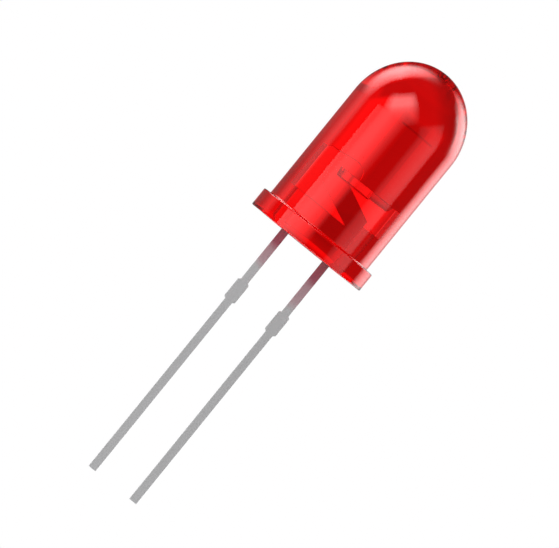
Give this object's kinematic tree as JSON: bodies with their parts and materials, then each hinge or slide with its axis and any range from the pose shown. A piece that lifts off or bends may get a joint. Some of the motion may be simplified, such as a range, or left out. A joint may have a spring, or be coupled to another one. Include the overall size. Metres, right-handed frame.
{
  "type": "through hole led",
  "caption": "Round-top clear red through hole LED with a base flange, straight leads with standoffs, and its anvil, post, die and bond wire inside.",
  "frame": {"origin": "on the lens axis, in the plane of the flange's seating ring", "axes": "+Z along the lens axis towards the dome, +X towards the cathode lead"},
  "size_m": [0.0056, 0.0056, 0.0214],
  "materials": {
    "red_epoxy": "clear cast epoxy, dyed red, glossy from the mould",
    "plated_lead": "stamped steel strip, tin plated outside and silver plated inside",
    "silver_adhesive": "cured silver-filled adhesive",
    "die_crystal": "polished semiconductor crystal",
    "gold_wire": "drawn gold"
  },
  "bodies": {
    "root": {"epoxy_case": "red_epoxy", "cathode_lead": "plated_lead", "anode_lead": "plated_lead", "die_attach": "silver_adhesive", "led_die": "die_crystal", "bond_wire": "gold_wire"}
  },
  "joints": []
}
